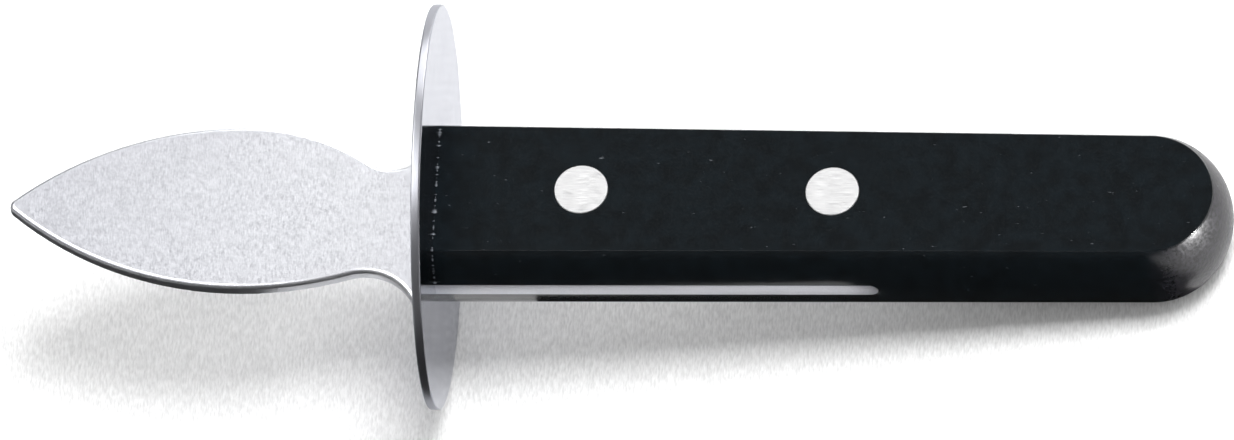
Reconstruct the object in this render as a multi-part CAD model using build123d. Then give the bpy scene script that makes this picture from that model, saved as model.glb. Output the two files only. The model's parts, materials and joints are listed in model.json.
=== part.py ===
from build123d import *
import os
from math import acos, atan2, cos, degrees, hypot, sin, tan

# Sizes are in millimetres and degrees.
# While it is shaped, the knife lies along X with its point at the low end, its flats square to Z
# and its spine towards +Y. X is zero where the handle meets the guard.

# Blade: a blunt leaf, ground a little thinner than its sheet, with hollow necks and two shoulders
# that seat on the guard
sheet_thickness = 2.4
leaf_thickness = 2.2
blade_length = 54.3
nose_radius = 1.0
nose_above_axis = 0.2
leaf_to_guard = 24.2
edge_radius = 0.6
shoulder_land = 1.6
spine_leaf_half = 11.8
spine_neck_half = 5.9
spine_neck_radius = 4.8
spine_neck_to_guard = 5.6
belly_leaf_half = 11.6
belly_neck_half = 9.1
belly_neck_radius = 6.8
belly_neck_to_guard = 8.0

# Tang: half as long as the handle, with its lower edge ground flush with the handle's underside
tang_length = 57.0
tang_above_axis = 6.0
tang_corner_radius = 3.0

# Guard: a round plate, set a little towards the spine
guard_diameter = 52.0
guard_thickness = 1.2
guard_offset = 0.9
guard_rim_bevel = 0.2

# Handle: one block with flat faces, bowed sides that taper slightly, and a round butt
handle_thickness = 13.8
flat_length = 100.1
flat_front_half = 9.05
butt_radius = 8.4
side_bow = 2.1
side_seam_depth = 2.0

# Rivets: two cutler's rivets, each a tubed half and a pinned half pressed together
front_rivet_place = 18.7
rear_rivet_to_tang_end = 5.9
rivet_head_diameter = 7.0
rivet_head_depth = 1.6
rivet_tube_diameter = 4.4
rivet_pin_diameter = 3.0
rivet_end_gap = 0.6

# Clearances, each on one side, and one overrun for all cuts
tang_clearance = 0.06
rivet_clearance = 0.03
pin_clearance = 0.015
cut_overrun = 5.0

# Faces that the pieces share
guard_front = -guard_thickness
flat_height = handle_thickness / 2
underside_front = flat_front_half + side_bow
head_seat_height = flat_height - rivet_head_depth
rivet_places = [front_rivet_place, tang_length - rear_rivet_to_tang_end]


def plate(outline, thickness):
    """A flat plate of this outline, half of its thickness on each side of the knife's middle plane."""
    return extrude(Pos(0, 0, -thickness / 2) * outline, thickness)


def leaf_arc(widest, centre, radius):
    """The leaf's edge from its widest point until it runs smoothly into a round of this centre.

    The round is the nose, or the hollow of a neck, whose radius is given as negative."""
    along = centre.X - widest.X
    across = widest.Y - centre.Y
    leaf_radius = (along**2 + across**2 - radius**2) / (2 * (across - radius))
    leaf_centre = widest - Vector(0, leaf_radius)
    end = leaf_centre + (centre - leaf_centre).normalized() * leaf_radius
    return TangentArc(widest, end, tangent=(along, 0))


def blade_side(nose_height, leaf_half, neck_half, neck_radius, neck_to_guard):
    """One side of the blade, from the tip of its nose over the leaf and its hollow neck to the guard."""
    tip = guard_front - blade_length
    widest = Vector(guard_front - leaf_to_guard, leaf_half)
    front = leaf_arc(widest, Vector(tip + nose_radius, nose_height), nose_radius)
    nose = TangentArc((tip, nose_height), front @ 1, tangent=(0, 1))
    neck_centre = Vector(guard_front - neck_to_guard, neck_half + neck_radius)
    flank = leaf_arc(widest, neck_centre, -neck_radius)
    land = guard_front - shoulder_land
    shoulder = neck_centre.Y - (neck_radius**2 - (land - neck_centre.X) ** 2) ** 0.5
    neck = ThreePointArc(flank @ 1, (neck_centre.X, neck_half), (land, shoulder))
    return nose + front + flank + neck + Line((land, shoulder), (guard_front, shoulder))


def blade_leaf():
    """The exposed blade, with its edges rounded over all round between the two flats."""
    spine = blade_side(
        nose_above_axis, spine_leaf_half, spine_neck_half, spine_neck_radius, spine_neck_to_guard
    )
    belly = blade_side(
        -nose_above_axis, belly_leaf_half, belly_neck_half, belly_neck_radius, belly_neck_to_guard
    )
    belly = mirror(belly, Plane.XZ)
    seat_ends = [side.vertices().sort_by(Axis.X)[-1] for side in (spine, belly)]
    outline = make_face(spine + belly + Line(*seat_ends))
    leaf = plate(outline, leaf_thickness)
    rim = [edge for edge in leaf.edges().filter_by(Axis.Z, reverse=True) if edge.center().X < guard_front]
    return fillet(rim, edge_radius)


def tang(handle_block):
    """The tang: through the guard, then flush with the handle's underside to its round end."""
    height = tang_above_axis + underside_front
    centre = (tang_above_axis - underside_front) / 2
    in_guard = Pos(guard_front / 2, centre) * Box(guard_thickness, height, sheet_thickness)
    deep = RectangleRounded(2 * tang_length, height + 2 * cut_overrun, tang_corner_radius)
    in_handle = plate(Pos(0, centre - cut_overrun) * deep, sheet_thickness) & handle_block
    round_end = extrude(Plane.XZ * SlotOverall(2 * tang_length, sheet_thickness), 2 * height, both=True)
    return in_guard + (in_handle & round_end)


def guard_plate():
    """The round guard, with its rim broken on both sides and the slot that the tang passes through."""
    disc = Cylinder(guard_diameter / 2, guard_thickness)
    disc = chamfer(disc.edges().filter_by(GeomType.CIRCLE), guard_rim_bevel)
    disc = Pos(guard_front / 2, guard_offset) * Rot(0, 90, 0) * disc
    slot_height = tang_above_axis + underside_front + 2 * tang_clearance
    slot = Box(guard_thickness + cut_overrun, slot_height, sheet_thickness + 2 * tang_clearance)
    return disc - Pos(guard_front / 2, (tang_above_axis - underside_front) / 2) * slot


def flat_edge():
    """Plan of the edge of the handle's flats: two straight sides that run smoothly into a round butt."""
    centre = flat_length - butt_radius
    taper = acos(butt_radius / hypot(flat_front_half, centre)) - atan2(centre, flat_front_half)
    shoulder = (centre + butt_radius * sin(taper), butt_radius * cos(taper))
    start = (-cut_overrun, shoulder[1] + (shoulder[0] + cut_overrun) * tan(taper))
    side = Line(start, shoulder)
    butt = ThreePointArc(shoulder, (flat_length, 0), (shoulder[0], -shoulder[1]))
    return side + butt + mirror(side, Plane.XZ)


def handle_block():
    """The handle before it is cut: a flat plate with its bowed side carried round the butt."""
    edge = flat_edge()
    plan = make_face(edge + Line(edge @ 1, edge @ 0))
    inner = -side_seam_depth
    seam = Polyline((0, -flat_height), (inner, -flat_height), (inner, flat_height), (0, flat_height))
    bow = ThreePointArc((0, flat_height), (side_bow, 0), (0, -flat_height))
    across = Plane(origin=edge @ 0, x_dir=(0, 1, 0), z_dir=edge % 0)
    block = plate(plan, handle_thickness) + sweep(across * make_face(bow + seam), edge)
    return split(block, Plane.YZ, keep=Keep.TOP)


def handle(block):
    """The handle block with its slot for the tang and the stepped holes for the rivets."""
    slot_width = sheet_thickness + 2 * tang_clearance
    slot_profile = SlotOverall(2 * (tang_length + tang_clearance), slot_width)
    slot = extrude(Plane.XZ * slot_profile, underside_front + cut_overrun)
    slot += extrude(Plane.XZ * slot_profile, -(tang_above_axis + tang_clearance))
    for place in rivet_places:
        block -= Pos(place) * rivet_holes()
    return block - slot


def rivet_holes():
    """One rivet's way through the handle: a bore for its tube and a seat at each end for a head."""
    bore = Cylinder(rivet_tube_diameter / 2 + rivet_clearance, handle_thickness)
    seat_depth = rivet_head_depth + cut_overrun
    seat = Cylinder(rivet_head_diameter / 2 + rivet_clearance, seat_depth)
    lift = head_seat_height + seat_depth / 2
    return bore + Pos(0, 0, lift) * seat + Pos(0, 0, -lift) * seat


def rivet_socket():
    """The rivet's upper half: a flush head on a tube that reaches nearly to the other head."""
    tube_length = 2 * head_seat_height - rivet_end_gap
    head = Pos(0, 0, head_seat_height + rivet_head_depth / 2) * Cylinder(
        rivet_head_diameter / 2, rivet_head_depth
    )
    tube = Pos(0, 0, head_seat_height - tube_length / 2) * Cylinder(rivet_tube_diameter / 2, tube_length)
    bore = Cylinder(rivet_pin_diameter / 2 + pin_clearance, 2 * head_seat_height)
    return head + tube - bore


def rivet_stud():
    """The rivet's lower half: a flush head on the pin that is pressed into the tube."""
    pin_length = 2 * head_seat_height - rivet_end_gap
    head = Pos(0, 0, -head_seat_height - rivet_head_depth / 2) * Cylinder(
        rivet_head_diameter / 2, rivet_head_depth
    )
    pin = Pos(0, 0, pin_length / 2 - head_seat_height) * Cylinder(rivet_pin_diameter / 2, pin_length)
    return head + pin


def blade(block):
    """Leaf and tang in one piece, with a hole through the tang for each rivet's tube."""
    piece = blade_leaf() + tang(block)
    for place in rivet_places:
        piece -= Pos(place) * Cylinder(rivet_tube_diameter / 2 + rivet_clearance, handle_thickness)
    return piece


def resting_lean():
    """The angle at which the knife lies on a table, on its guard's rim and the end of its back flat."""
    return degrees(atan2(guard_diameter / 2 - flat_height, guard_rim_bevel + flat_length))


def pieces():
    """Every piece of the knife by name, in the place that it has while the knife is shaped."""
    block = handle_block()
    front, rear = [Pos(place) for place in rivet_places]
    return {
        "blade": blade(block),
        "guard": guard_plate(),
        "handle": handle(block),
        "front_rivet_socket": front * rivet_socket(),
        "front_rivet_stud": front * rivet_stud(),
        "rear_rivet_socket": rear * rivet_socket(),
        "rear_rivet_stud": rear * rivet_stud(),
    }


def set_down(shaped):
    """The pieces leaned as the knife lies, centred over the origin with the table at Z = 0."""
    leaned = {name: Rot(0, resting_lean(), 0) * piece for name, piece in shaped.items()}
    room = Compound(list(leaned.values())).bounding_box()
    move = Pos(-room.center().X, -room.center().Y, -room.min.Z)
    return {name: move * piece for name, piece in leaned.items()}


os.makedirs("parts", exist_ok=True)
for name, piece in set_down(pieces()).items():
    export_step(piece, f"parts/{name}.step")
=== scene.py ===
import bmesh
import bpy
import json
from math import acos, asin, atan2, cos, hypot, pi, radians, sin, tan
from mathutils import Matrix, Vector


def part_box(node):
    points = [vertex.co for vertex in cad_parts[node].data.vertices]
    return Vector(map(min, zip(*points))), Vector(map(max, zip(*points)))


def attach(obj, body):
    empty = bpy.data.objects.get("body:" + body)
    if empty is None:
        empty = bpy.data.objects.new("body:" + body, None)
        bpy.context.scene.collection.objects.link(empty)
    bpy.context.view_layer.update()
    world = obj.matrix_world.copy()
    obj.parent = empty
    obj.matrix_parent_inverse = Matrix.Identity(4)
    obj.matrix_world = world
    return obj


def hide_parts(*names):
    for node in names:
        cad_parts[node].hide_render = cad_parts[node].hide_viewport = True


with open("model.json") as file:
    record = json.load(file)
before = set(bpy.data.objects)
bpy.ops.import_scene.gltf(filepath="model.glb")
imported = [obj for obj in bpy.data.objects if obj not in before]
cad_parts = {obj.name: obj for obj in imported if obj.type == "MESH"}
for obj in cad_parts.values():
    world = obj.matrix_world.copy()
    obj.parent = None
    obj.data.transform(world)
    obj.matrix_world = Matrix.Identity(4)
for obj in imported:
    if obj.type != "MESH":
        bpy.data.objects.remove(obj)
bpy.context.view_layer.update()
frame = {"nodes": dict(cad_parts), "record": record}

# Lengths are in millimetres in the knife's own frame, apart from the studio's: X from the point to the
# butt, Y towards the spine, Z out of the face that is seen. Its origin is on the knife's axis, where the
# handle meets the guard.
mm = 0.001

# Guard: a round plate with a rolled rim, set a little towards the spine
guard_diameter = 52.0
guard_thickness = 1.2
guard_offset = 0.9
guard_rim_radius = 0.25

# Handle: one block with flat faces, and bowed sides that are carried round the butt
flat_height = 6.9
flat_length = 100.1
flat_front_half = 9.05
butt_radius = 8.4
side_bow = 2.1
handle_edge_radius = 0.06

# Tang, and the slot round it in the guard and in the handle
tang_thickness = 2.4
tang_length = 57.0
tang_above_axis = 6.0
tang_clearance = 0.06
slot_half_width = tang_thickness / 2 + tang_clearance
slot_above_axis = tang_above_axis + tang_clearance
slot_below_axis = flat_front_half + side_bow + tang_clearance
slot_end = tang_length + tang_clearance

# Rivets: a flush head on a tube above, and a flush head on a pin below
rivet_places = {"front": 18.7, "rear": 51.1}
rivet_head_radius = 3.5
rivet_head_depth = 1.6
rivet_tube_radius = 2.2
rivet_pin_radius = 1.5
rivet_end_gap = 0.6
rivet_edge_break = 0.1
rivet_clearance = 0.03
pin_clearance = 0.015
rivet_head_seat = flat_height - rivet_head_depth

# How finely curves are stepped, how far cuts run over, how close two points are that count as one, and
# the angles in degrees from which an edge is rounded or kept sharp
guard_facets = 192
rim_steps = 6
bow_steps = 14
butt_steps = 56
edge_steps = 4
slot_end_steps = 16
rivet_facets = 96
cut_overrun = 5.0
handle_overrun = 3.0
same_point = 1e-4
rounded_angle = 30
crease_angle = 35

# The photograph's view of the knife, in degrees and millimetres
camera_azimuth = 13.1
camera_elevation = 61.35
camera_roll = -11.1
camera_distance = 800
view_width = 158.2
view_centre = (22.56, -0.85)

# The studio's lengths are in metres. Each light has its azimuth, elevation, distance, width, height and
# power. No reflection shows the top light or the fill, so they brighten only what is matt. The sheen and
# the glint show in reflections alone, and the glint reaches nothing but the handle.
lights = {
    "top": (95, 80, 1.2, 0.42, 0.42, 14.5),
    "sheen": (281, 59, 2.4, 1.8, 1.8, 78),
    "fill": (0, 50, 1.4, 1.6, 1.0, 5),
    "back": (165, 24, 1.2, 0.9, 0.45, 8),
    "back_high": (170, 45, 1.2, 0.9, 0.3, 3),
    "back_left": (225, 48, 1.2, 0.6, 0.5, 2),
    "right": (92, 48, 1.2, 0.6, 0.5, 1),
    "glint": (67, 14, 1.0, 0.1, 0.1, 34),
}
unseen_in_reflections = {"top", "fill"}
only_in_reflections = {"sheen", "glint"}
room_brightness = 0.18
table_radius = 1.6
table_facets = 96

# Grey felt hung in front of the knife, as a part of a sphere between two azimuths and two elevations
felt_distance = 0.95
felt_azimuths = (-75, 42)
felt_elevations = (-3, 66)
felt_steps = 24

# Black felt laid just above the table, in front of the knife. Its rear edge, given by places along and
# across the knife, passes behind the point, keeps off beside the guard and the tang, and comes up close
# to the rear of the handle.
felt_lift = 0.001
felt_edge = (
    (-0.13, 0.03),
    (-0.034, 0.03),
    (-0.026, -0.03),
    (0.046, -0.03),
    (0.054, -0.011),
    (0.1, -0.011),
)
# A second sheet, painted shade that only reflections see, lies under the near half of the handle, where
# the table is in the handle's shadow: its left, right, front and back
shade_felt_below = (0.006, 0.095, -0.0155, 0)


def knife_frame():
    """The knife's own frame, from the way its flats face and the middle of its guard."""
    mounts = {mount["name"]: mount for mount in frame["record"]["mounts"]}
    outward = Vector(mounts["blade_flat"]["axis"]).normalized()
    along = Vector((outward.z, 0, -outward.x))
    across = outward.cross(along)
    low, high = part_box("guard")
    origin = (low + high) / 2 + (along * guard_thickness / 2 - across * guard_offset) * mm
    turned = Matrix((along, across, outward)).transposed()
    return Matrix.Translation(origin) @ turned.to_4x4()


knife = knife_frame()


def direction(azimuth, elevation):
    """A direction in the knife's own frame, from azimuth 0 at -Y towards +X, turned into the room."""
    a = radians(azimuth)
    e = radians(elevation)
    return knife.to_3x3() @ Vector((sin(a) * cos(e), -cos(a) * cos(e), sin(e)))


def turned_solid(profile, facets):
    """A solid turned about Z, from a profile of radius and height that starts and ends on the axis."""
    form = bmesh.new()
    points = [form.verts.new((radius, 0, height)) for radius, height in profile]
    edges = [form.edges.new(pair) for pair in zip(points, points[1:])]
    geometry = points + edges
    bmesh.ops.spin(form, geom=geometry, axis=(0, 0, 1), cent=(0, 0, 0), angle=2 * pi, steps=facets)
    bmesh.ops.remove_doubles(form, verts=form.verts, dist=same_point)
    bmesh.ops.recalc_face_normals(form, faces=form.faces)
    return form


def block(low, high):
    """A block between two corners."""
    form = bmesh.new()
    size = [b - a for a, b in zip(low, high)]
    middle = [(a + b) / 2 for a, b in zip(low, high)]
    placed = Matrix.Translation(middle) @ Matrix.Diagonal(size).to_4x4()
    bmesh.ops.create_cube(form, size=1, matrix=placed)
    return form


def shape(name, form):
    """A new object in the room from a form that is given in the knife's own millimetres."""
    form.transform(knife @ Matrix.Scale(mm, 4))
    mesh = bpy.data.meshes.new(name)
    form.to_mesh(mesh)
    form.free()
    made = bpy.data.objects.new(name, mesh)
    bpy.context.scene.collection.objects.link(made)
    return made


def bake(piece):
    """Takes a piece's modifiers into its mesh."""
    bpy.context.view_layer.update()
    seen = piece.evaluated_get(bpy.context.evaluated_depsgraph_get())
    piece.data = bpy.data.meshes.new_from_object(seen)
    piece.modifiers.clear()


def carve(piece, cutters):
    """Cuts the forms of the cutters out of a piece."""
    for number, form in enumerate(cutters):
        cutter = shape(f"cutter_{number}", form)
        cut = piece.modifiers.new("cut", "BOOLEAN")
        cut.operation = "DIFFERENCE"
        cut.solver = "EXACT"
        cut.object = cutter
        bake(piece)
        bpy.data.objects.remove(cutter)


def round_edges(piece, radius):
    """Rounds a piece's sharp edges."""
    rounding = piece.modifiers.new("rounding", "BEVEL")
    rounding.width = radius * mm
    rounding.segments = edge_steps
    rounding.limit_method = "ANGLE"
    rounding.angle_limit = radians(rounded_angle)
    bake(piece)


def smooth(piece):
    """Shades a piece's curved faces smooth and keeps its flat ones flat."""
    piece.data.shade_smooth()
    piece.data.set_sharp_from_angle(angle=radians(crease_angle))
    weighted = piece.modifiers.new("weighted_normals", "WEIGHTED_NORMAL")
    weighted.keep_sharp = True


def seat(piece, node, finish):
    """Puts a piece in its CAD node's place with its finish, and hides the node."""
    smooth(piece)
    piece.data.materials.clear()
    piece.data.materials.append(finish)
    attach(piece, "root")
    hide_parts(node)


def blade(finish):
    """The blade keeps its solid, which has every form that shows, and takes its finish."""
    materials = frame["nodes"]["blade"].data.materials
    materials.clear()
    materials.append(finish)


def guard(finish):
    """The round guard with its rolled rim and the slot that the tang passes through."""
    half = guard_thickness / 2
    out = guard_diameter / 2 - guard_rim_radius
    up = half - guard_rim_radius
    turns = [pi / 2 * step / rim_steps for step in range(rim_steps + 1)]
    rim = [(out + guard_rim_radius * sin(a), up + guard_rim_radius * cos(a)) for a in turns]
    profile = [(0, half)] + rim + [(r, -height) for r, height in reversed(rim)] + [(0, -half)]
    form = turned_solid(profile, guard_facets)
    form.transform(Matrix.Translation((-half, guard_offset, 0)) @ Matrix.Rotation(pi / 2, 4, "Y"))
    plate = shape("round_guard", form)
    slot_low = (-guard_thickness - cut_overrun, -slot_below_axis, -slot_half_width)
    carve(plate, [block(slot_low, (cut_overrun, slot_above_axis, slot_half_width))])
    seat(plate, "guard", finish)


def handle_form():
    """The handle's block, ring by ring from its back flat to its front one, running on past the guard."""
    form = bmesh.new()
    bow_radius = (flat_height**2 + side_bow**2) / (2 * side_bow)
    centre = flat_length - butt_radius
    taper = acos(butt_radius / hypot(flat_front_half, centre)) - atan2(centre, flat_front_half)
    turns = [(pi / 2 - taper) * (2 * turn / butt_steps - 1) for turn in range(butt_steps + 1)]
    rings = []
    for step in range(bow_steps + 1):
        rise = asin(flat_height / bow_radius) * (2 * step / bow_steps - 1)
        height = bow_radius * sin(rise)
        out = bow_radius * cos(rise) - bow_radius + side_bow
        radius = butt_radius + out
        butt = [(centre + radius * cos(a), radius * sin(a)) for a in turns]
        end = flat_front_half + out / cos(taper) + handle_overrun * tan(taper)
        outline = [(-handle_overrun, -end)] + butt + [(-handle_overrun, end)]
        rings.append([form.verts.new((x, y, height)) for x, y in outline])
    for lower, upper in zip(rings, rings[1:]):
        for i in range(len(lower) - 1):
            form.faces.new((lower[i], lower[i + 1], upper[i + 1], upper[i]))
    form.faces.new(rings[-1])
    form.faces.new(reversed(rings[0]))
    form.faces.new([ring[0] for ring in rings] + [ring[-1] for ring in reversed(rings)])
    bmesh.ops.recalc_face_normals(form, faces=form.faces)
    return form


def tang_bed():
    """The cutter of the handle's slot, open at the front and below, with a round end."""
    form = bmesh.new()
    centre = slot_end - slot_half_width
    turns = [pi / 2 - pi * step / slot_end_steps for step in range(slot_end_steps + 1)]
    round_end = [(centre + slot_half_width * cos(a), slot_half_width * sin(a)) for a in turns]
    outline = [(-cut_overrun, slot_half_width)] + round_end + [(-cut_overrun, -slot_half_width)]
    low = [form.verts.new((x, -slot_below_axis - cut_overrun, z)) for x, z in outline]
    high = [form.verts.new((x, slot_above_axis, z)) for x, z in outline]
    form.faces.new(low)
    form.faces.new(reversed(high))
    for i in range(len(outline)):
        j = (i + 1) % len(outline)
        form.faces.new((low[i], low[j], high[j], high[i]))
    bmesh.ops.recalc_face_normals(form, faces=form.faces)
    return form


def rivet_hole(place):
    """The cutter of a rivet's stepped hole, from face to face."""
    head = rivet_head_radius + rivet_clearance
    tube = rivet_tube_radius + rivet_clearance
    top = flat_height + cut_overrun
    upper = [(0, top), (head, top), (head, rivet_head_seat), (tube, rivet_head_seat)]
    form = turned_solid(upper + [(r, -height) for r, height in reversed(upper)], rivet_facets)
    form.transform(Matrix.Translation((place, 0, 0)))
    return form


def handle(finish):
    """The handle, with its edges eased, cut square at the guard, with its slot and its rivet holes."""
    piece = shape("handle_block", handle_form())
    round_edges(piece, handle_edge_radius)
    beyond = 2 * guard_diameter
    past_guard = block((-2 * handle_overrun, -beyond, -beyond), (0, beyond, beyond))
    carve(piece, [past_guard, tang_bed()] + [rivet_hole(place) for place in rivet_places.values()])
    seat(piece, "handle", finish)
    return piece


def rivets(finish):
    """Both rivets, each a tubed upper half and a pinned lower half."""
    edge = rivet_head_radius - rivet_edge_break
    shoulder = flat_height - rivet_edge_break
    head = [(0, flat_height), (edge, flat_height), (rivet_head_radius, shoulder)]
    head.append((rivet_head_radius, rivet_head_seat))
    bore = rivet_pin_radius + pin_clearance
    tube_end = rivet_end_gap - rivet_head_seat
    tube = [(rivet_tube_radius, rivet_head_seat), (rivet_tube_radius, tube_end), (bore, tube_end)]
    tube += [(bore, rivet_head_seat), (0, rivet_head_seat)]
    pin = [(rivet_pin_radius, rivet_head_seat), (rivet_pin_radius, tube_end), (0, tube_end)]
    for name, place in rivet_places.items():
        for half, profile, flip in (("socket", head + tube, 1), ("stud", head + pin, -1)):
            form = turned_solid([(r, flip * height) for r, height in profile], rivet_facets)
            form.transform(Matrix.Translation((place, 0, 0)))
            seat(shape(f"{name}_rivet_{half}_head", form), f"{name}_rivet_{half}", finish)


def colour(hex_code):
    """Linear colour of an sRGB hex value."""
    levels = [int(hex_code[i : i + 2], 16) / 255 for i in (1, 3, 5)]
    return [c / 12.92 if c <= 0.04045 else ((c + 0.055) / 1.055) ** 2.4 for c in levels] + [1]


def per_mm(*sizes):
    """The scales that give a pattern's marks these sizes in millimetres along X, Y and Z."""
    return [1 / size for size in sizes]


def add(tree, kind, sockets, **settings):
    """Adds a node with its settings; a socket takes a value, a node or one of a node's outputs."""
    made = tree.nodes.new(kind)
    for name, value in settings.items():
        setattr(made, name, value)
    for socket, value in sockets.items():
        if isinstance(value, bpy.types.Node):
            value = next(output for output in value.outputs if output.enabled)
        if isinstance(value, bpy.types.NodeSocket):
            tree.links.new(value, made.inputs[socket])
        else:
            made.inputs[socket].default_value = value
    return made


def material(name):
    """A new material, its node tree, and coordinates in millimetres of the knife's own frame."""
    made = bpy.data.materials.new(name)
    made.use_nodes = True
    tree = made.node_tree
    tree.nodes.clear()
    room = add(tree, "ShaderNodeTexCoord", {}).outputs["Object"]
    own_frame = {"Location": knife.translation, "Rotation": knife.to_euler(), "Scale": [mm] * 3}
    return made, tree, add(tree, "ShaderNodeMapping", {"Vector": room} | own_frame, vector_type="TEXTURE")


def finished(made, look):
    """The material with its shader, whose sockets have this look."""
    shader = add(made.node_tree, "ShaderNodeBsdfPrincipled", look)
    add(made.node_tree, "ShaderNodeOutputMaterial", {"Surface": shader})
    return made


def satin_stainless():
    """Stainless sheet, satin ground across the blade: soft reflections with fine cross lines."""
    made, tree, place = material("satin_ground_stainless")
    # Belt lines lie about 0.05 mm apart on the real blade, and are drawn three times as wide to show
    belt = {0: place, 1: per_mm(0.16, 1.0, 0.16)}
    across = add(tree, "ShaderNodeVectorMath", belt, operation="MULTIPLY")
    lines = add(tree, "ShaderNodeTexNoise", {"Vector": across, "Scale": 1, "Detail": 2})
    # The grit leaves short marks between the lines, which are drawn coarser too
    short = add(tree, "ShaderNodeVectorMath", {0: place, 1: per_mm(0.2, 0.34, 0.2)}, operation="MULTIPLY")
    grit = add(tree, "ShaderNodeTexNoise", {"Vector": short, "Scale": 1, "Detail": 2})
    ground = add(tree, "ShaderNodeMath", {0: lines, 1: grit}, operation="ADD")
    # The belt bites a little unevenly over about 12 mm
    cloud = add(tree, "ShaderNodeTexNoise", {"Vector": place, "Scale": 1 / 12, "Detail": 2})
    shade = add(tree, "ShaderNodeMath", {0: cloud, 1: 0.4, 2: ground}, operation="MULTIPLY_ADD")
    bite = add(tree, "ShaderNodeMapRange", {"Value": shade, "From Min": 0.75, "From Max": 1.65})
    greys = {0: bite, 6: colour("#b3b4ba"), 7: colour("#c9cacf")}
    steel = add(tree, "ShaderNodeMix", greys, data_type="RGBA")
    # Painted light: the leaf's colour is brightened towards the guard over 50 mm, as a painted highlight;
    # the tang behind it isn't
    along = add(tree, "ShaderNodeSeparateXYZ", {"Vector": place}).outputs["X"]
    painted_light_ramp = {"Value": along, "From Min": -50, "From Max": 0, "To Max": 0.5}
    painted_brightening = add(tree, "ShaderNodeMapRange", painted_light_ramp)
    exposed = add(tree, "ShaderNodeMath", {0: along, 1: 0}, operation="LESS_THAN")
    painted_light_share = add(tree, "ShaderNodeMath", {0: painted_brightening, 1: exposed}, operation="MULTIPLY")
    # The painted highlight towards the guard is mixed into the blade's colour here
    tone = add(tree, "ShaderNodeMix", {0: painted_light_share, 6: steel, 7: colour("#e6e7ea")}, data_type="RGBA")
    satin = {"Value": ground, "From Min": 0.7, "From Max": 1.3, "To Min": 0.3, "To Max": 0.42}
    dull = add(tree, "ShaderNodeMapRange", satin)
    relief = add(tree, "ShaderNodeBump", {"Height": ground, "Strength": 0.25, "Distance": 0.004 * mm})
    return finished(made, {"Base Color": tone, "Metallic": 1, "Roughness": dull, "Normal": relief})


def polished_stainless():
    """Stainless sheet, polished on a wheel: nearly a mirror, with faint lines from the wheel."""
    made, tree, place = material("polished_stainless")
    # The wheel's lines are about 0.02 mm apart, and are drawn ten times as wide to show
    wheel = {0: place, 1: per_mm(0.9, 3.5, 0.22)}
    across = add(tree, "ShaderNodeVectorMath", wheel, operation="MULTIPLY")
    lines = add(tree, "ShaderNodeTexNoise", {"Vector": across, "Scale": 1, "Detail": 3})
    streaks = add(tree, "ShaderNodeMapRange", {"Value": lines, "From Min": 0.35, "From Max": 0.65})
    greys = {0: streaks, 6: colour("#b5b6be"), 7: colour("#c9cad1")}
    polished = add(tree, "ShaderNodeMix", greys, data_type="RGBA")
    # Haze that the wheel leaves, in patches of about 6 mm
    haze = add(tree, "ShaderNodeTexNoise", {"Vector": place, "Scale": 1 / 6, "Detail": 2})
    mirror = {"Value": haze, "From Min": 0.3, "From Max": 0.7, "To Min": 0.07, "To Max": 0.14}
    faces_dull = add(tree, "ShaderNodeMapRange", mirror)
    # The wheel misses the outer 0.2 mm of the plate, which keeps the duller, greyer finish of the drum
    # that it was tumbled in
    from_middle = {0: place, 1: (0, 1, 1), 2: (0, -guard_offset, 0)}
    outward = add(tree, "ShaderNodeVectorMath", from_middle, operation="MULTIPLY_ADD")
    reach = add(tree, "ShaderNodeVectorMath", {0: outward}, operation="LENGTH").outputs["Value"]
    radius = guard_diameter / 2
    near_rim = {"Value": reach, "From Min": radius - 0.2, "From Max": radius - 0.1}
    rim = add(tree, "ShaderNodeMapRange", near_rim)
    dull = add(tree, "ShaderNodeMix", {"Factor": rim, "A": faces_dull, "B": 0.34})
    tone = add(tree, "ShaderNodeMix", {0: rim, 6: polished, 7: colour("#a4a5ab")}, data_type="RGBA")
    relief = add(tree, "ShaderNodeBump", {"Height": lines, "Strength": 0.15, "Distance": 0.01 * mm})
    look = {"Base Color": tone, "Metallic": 1, "Roughness": dull, "Normal": relief}
    return finished(made, look | {"Specular Tint": colour("#d8d9dd")})


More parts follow.
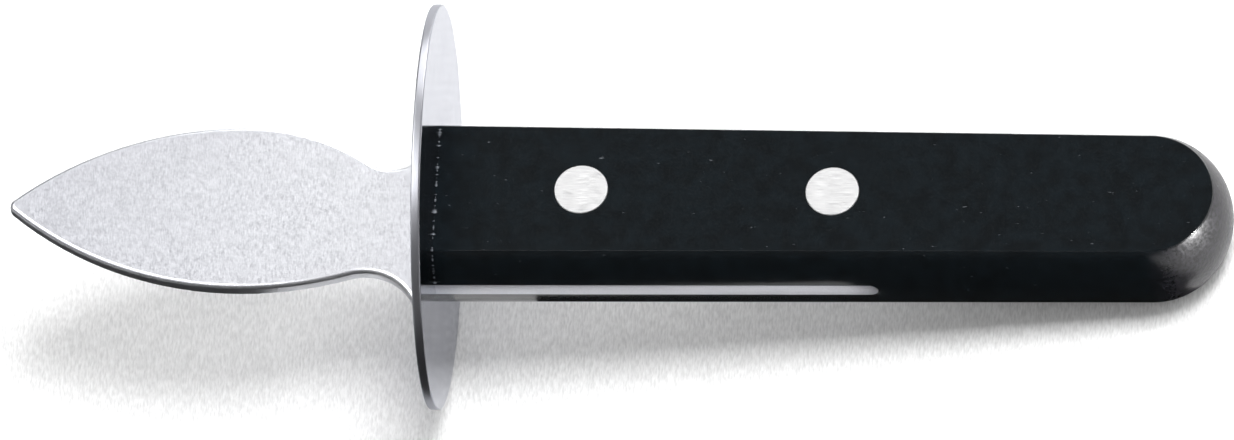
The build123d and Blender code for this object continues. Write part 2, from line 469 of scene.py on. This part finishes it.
def sanded_acetal():
    """Black acetal, moulded and sanded smooth: dark with a dull sheen, with scuffs beside the guard
    painted light as highlights, and a painted sheen at the butt.
    """
    made, tree, place = material("sanded_black_acetal")
    spot = add(tree, "ShaderNodeSeparateXYZ", {"Vector": place})
    # The colour is faintly uneven, in patches of about 2 mm
    clouds = add(tree, "ShaderNodeTexNoise", {"Vector": place, "Scale": 1 / 2, "Detail": 4})
    patches = add(tree, "ShaderNodeMapRange", {"Value": clouds, "From Min": 0.35, "From Max": 0.65})
    blacks = {0: patches, 6: colour("#04080b"), 7: colour("#091014")}
    body = add(tree, "ShaderNodeMix", blacks, data_type="RGBA")
    # The paper's grit is about 0.08 mm, and is drawn three times as wide to show
    grit = add(tree, "ShaderNodeTexNoise", {"Vector": place, "Scale": 1 / 0.25, "Detail": 2})
    # Scuffs about 0.4 mm apart, painted light grey as highlights, start at the guard and run out within
    # 0.7 mm; a few specks lie further on
    short = add(tree, "ShaderNodeVectorMath", {0: place, 1: per_mm(1.2, 0.4, 0.6)}, operation="MULTIPLY")
    dabs = add(tree, "ShaderNodeTexNoise", {"Vector": short, "Scale": 1, "Detail": 3})
    fading = {"Value": spot.outputs["X"], "From Min": 0, "From Max": 0.7, "To Min": 0.5, "To Max": 0}
    near = add(tree, "ShaderNodeMapRange", fading)
    thick = add(tree, "ShaderNodeMath", {0: near, 1: near, 2: dabs}, operation="MULTIPLY_ADD")
    painted_scuff_highlights = add(tree, "ShaderNodeMapRange", {"Value": thick, "From Min": 0.73, "From Max": 0.86})
    # The butt, from 92 mm on and below the edges of its flats, is sanded coarser than they are and
    # mottled over about 0.5 mm. Its greyer colour is partly the sanding and partly a painted sheen.
    height = add(tree, "ShaderNodeMath", {0: spot.outputs["Z"]}, operation="ABSOLUTE")
    bow = {"Value": height, "From Min": flat_height - 0.35, "From Max": flat_height - 0.1}
    below = add(tree, "ShaderNodeMapRange", bow | {"To Min": 1, "To Max": 0})
    rear = add(tree, "ShaderNodeMapRange", {"Value": spot.outputs["X"], "From Min": 92, "From Max": 97})
    butt = add(tree, "ShaderNodeMath", {0: below, 1: rear}, operation="MULTIPLY")
    coarse = add(tree, "ShaderNodeTexNoise", {"Vector": place, "Scale": 1 / 0.5, "Detail": 2})
    grains = add(tree, "ShaderNodeMapRange", {"Value": coarse, "From Min": 0.35, "From Max": 0.65})
    greys = {0: grains, 6: colour("#09090c"), 7: colour("#2a272f")}
    mottle_and_painted_sheen = add(tree, "ShaderNodeMix", greys, data_type="RGBA")
    # The butt's greys carry a painted sheen as well as the sanding's mottle
    sanded_and_painted_sheen = add(tree, "ShaderNodeMix", {0: butt, 6: body, 7: mottle_and_painted_sheen}, data_type="RGBA")
    # The light grey here is painted highlight on the scuffs beside the guard
    tone = add(tree, "ShaderNodeMix", {0: painted_scuff_highlights, 6: sanded_and_painted_sheen, 7: colour("#777b80")}, data_type="RGBA")
    sheen = {"Value": grit, "From Min": 0.3, "From Max": 0.7, "To Min": 0.12, "To Max": 0.19}
    flats_dull = add(tree, "ShaderNodeMapRange", sheen)
    butt_dull = add(tree, "ShaderNodeMapRange", {"Value": grains, "To Min": 0.31, "To Max": 0.45})
    dull = add(tree, "ShaderNodeMix", {"Factor": butt, "A": flats_dull, "B": butt_dull})
    marks = add(tree, "ShaderNodeMix", {"Factor": butt, "A": grit, "B": coarse})
    depth = add(tree, "ShaderNodeMapRange", {"Value": butt, "To Min": 0.08, "To Max": 1})
    relief = add(tree, "ShaderNodeBump", {"Height": marks, "Strength": depth, "Distance": 0.04 * mm})
    return finished(made, {"Base Color": tone, "Roughness": dull, "IOR": 1.48, "Normal": relief})


def ground_aluminium():
    """Aluminium, ground flush with the handle: bright and silky, with lines along the knife."""
    made, tree, place = material("ground_aluminium")
    # The belt's lines are about 0.05 mm apart, and are drawn twice as wide to show
    belt = {0: place, 1: per_mm(1.8, 0.1, 0.1)}
    along = add(tree, "ShaderNodeVectorMath", belt, operation="MULTIPLY")
    lines = add(tree, "ShaderNodeTexNoise", {"Vector": along, "Scale": 1, "Detail": 2})
    streaks = add(tree, "ShaderNodeMapRange", {"Value": lines, "From Min": 0.3, "From Max": 0.7})
    greys = {0: streaks, 6: colour("#d4d4d5"), 7: colour("#e2e2e2")}
    tone = add(tree, "ShaderNodeMix", greys, data_type="RGBA")
    silk = {"Value": lines, "From Min": 0.3, "From Max": 0.7, "To Min": 0.3, "To Max": 0.42}
    dull = add(tree, "ShaderNodeMapRange", silk)
    relief = add(tree, "ShaderNodeBump", {"Height": lines, "Strength": 0.2, "Distance": 0.004 * mm})
    return finished(made, {"Base Color": tone, "Metallic": 1, "Roughness": dull, "Normal": relief})


def white_laminate():
    """The white table top: matt, with a faint grain that runs across the knife."""
    made, tree, place = material("white_laminate")
    # The grain's strands are about 0.25 mm wide and 1 mm long
    across = add(tree, "ShaderNodeVectorMath", {0: place, 1: per_mm(0.25, 1, 1)}, operation="MULTIPLY")
    grain = add(tree, "ShaderNodeTexNoise", {"Vector": across, "Scale": 1, "Detail": 3})
    strands = add(tree, "ShaderNodeMapRange", {"Value": grain, "From Min": 0.3, "From Max": 0.7})
    whites = {0: strands, 6: colour("#e2e2e2"), 7: colour("#ffffff")}
    tone = add(tree, "ShaderNodeMix", whites, data_type="RGBA")
    relief = add(tree, "ShaderNodeBump", {"Height": grain, "Strength": 0.1, "Distance": 0.02 * mm})
    return finished(made, {"Base Color": tone, "Roughness": 0.6, "Normal": relief})


def studio_felt(name, dark, light):
    """Felt between two greys: matt, with tufts that show as faint clouds."""
    made, tree, place = material(name)
    # Tufts of about 3 mm
    tufts = add(tree, "ShaderNodeTexNoise", {"Vector": place, "Scale": 1 / 3, "Detail": 2})
    tone = add(tree, "ShaderNodeMix", {0: tufts, 6: colour(dark), 7: colour(light)}, data_type="RGBA")
    return finished(made, {"Base Color": tone, "Roughness": 0.9})


def set_camera():
    """The camera, at the photograph's angle and without perspective, as the photograph shows none."""
    back = direction(camera_azimuth, camera_elevation)
    level = direction(camera_azimuth + 90, 0)
    upward = back.cross(level)
    roll = radians(camera_roll)
    right = level * cos(roll) + upward * sin(roll)
    up = back.cross(right)
    aim = knife.translation + (right * view_centre[0] + up * view_centre[1]) * mm
    data = bpy.data.cameras.new("camera")
    data.type = "ORTHO"
    data.ortho_scale = view_width * mm
    camera = bpy.data.objects.new("camera", data)
    turned = Matrix((right, up, back)).transposed().to_4x4()
    camera.matrix_world = Matrix.Translation(aim + back * camera_distance * mm) @ turned
    bpy.context.scene.collection.objects.link(camera)
    bpy.context.scene.camera = camera


def soft_light(name, azimuth, elevation, distance, width, height, power):
    """A rectangular soft light that faces the knife."""
    data = bpy.data.lights.new(name, "AREA")
    data.shape = "RECTANGLE"
    data.size = width
    data.size_y = height
    data.energy = power
    light = bpy.data.objects.new(name, data)
    towards = direction(azimuth, elevation)
    light.location = knife.translation + towards * distance
    light.rotation_euler = towards.to_track_quat("Z", "Y").to_euler()
    light.visible_camera = False
    light.visible_glossy = name not in unseen_in_reflections
    light.visible_diffuse = name not in only_in_reflections
    bpy.context.scene.collection.objects.link(light)
    return light


def staged(name, form, finish):
    """Adds a form to the room that isn't part of the knife."""
    mesh = bpy.data.meshes.new(name)
    form.to_mesh(mesh)
    form.free()
    mesh.materials.append(finish)
    made = bpy.data.objects.new(name, mesh)
    bpy.context.scene.collection.objects.link(made)
    return made


def table():
    """The round white table that the knife lies on."""
    form = bmesh.new()
    bmesh.ops.create_circle(form, cap_ends=True, segments=table_facets, radius=table_radius)
    staged("table", form, white_laminate())


def felt(name, form, finish):
    """Adds felt that only reflections see."""
    made = staged(name, form, finish)
    made.visible_camera = False
    made.visible_diffuse = False
    made.visible_shadow = False


def hung_felt():
    """The curved curtain of grey felt in front of the knife."""
    form = bmesh.new()
    shares = [step / felt_steps for step in range(felt_steps + 1)]
    turns = [felt_azimuths[0] + (felt_azimuths[1] - felt_azimuths[0]) * share for share in shares]
    rises = [felt_elevations[0] + (felt_elevations[1] - felt_elevations[0]) * share for share in shares]
    rows = []
    for rise in rises:
        spots = [knife.translation + direction(turn, rise) * felt_distance for turn in turns]
        rows.append([form.verts.new(spot) for spot in spots])
    for lower, upper in zip(rows, rows[1:]):
        for i in range(felt_steps):
            form.faces.new((lower[i], lower[i + 1], upper[i + 1], upper[i]))
    felt("hung_felt", form, studio_felt("grey_felt", "#5c5c5c", "#6c6c6c"))


def laid_felt():
    """The two sheets of black felt just above the table."""
    form = bmesh.new()
    far_edge = [(x, -felt_distance) for x, _ in reversed(felt_edge)]
    # The second sheet paints the shade under the handle into reflections
    left, right, front, back = shade_felt_below
    below = [(left, front), (right, front), (right, back), (left, back)]
    for outline in (list(felt_edge) + far_edge, below):
        spots = [(knife.translation.x + x, knife.translation.y + y, felt_lift) for x, y in outline]
        form.faces.new([form.verts.new(spot) for spot in spots])
    felt("laid_felt", form, studio_felt("black_felt", "#0a0a0a", "#121212"))


def set_room(highlighted):
    """The table, the felt, the lights and a dim grey room; the glint reaches only this one piece."""
    table()
    hung_felt()
    laid_felt()
    placed = {name: soft_light(name, *setting) for name, setting in lights.items()}
    reached = bpy.data.collections.new("reached_by_glint")
    reached.objects.link(highlighted)
    placed["glint"].light_linking.receiver_collection = reached
    world = bpy.data.worlds.new("room")
    world.use_nodes = True
    background = world.node_tree.nodes["Background"].inputs
    background["Color"].default_value = [room_brightness] * 3 + [1]
    bpy.context.scene.world = world


blade(satin_stainless())
guard(polished_stainless())
black_handle = handle(sanded_acetal())
rivets(ground_aluminium())
set_camera()
set_room(black_handle)
bpy.context.scene.view_settings.view_transform = "Standard"
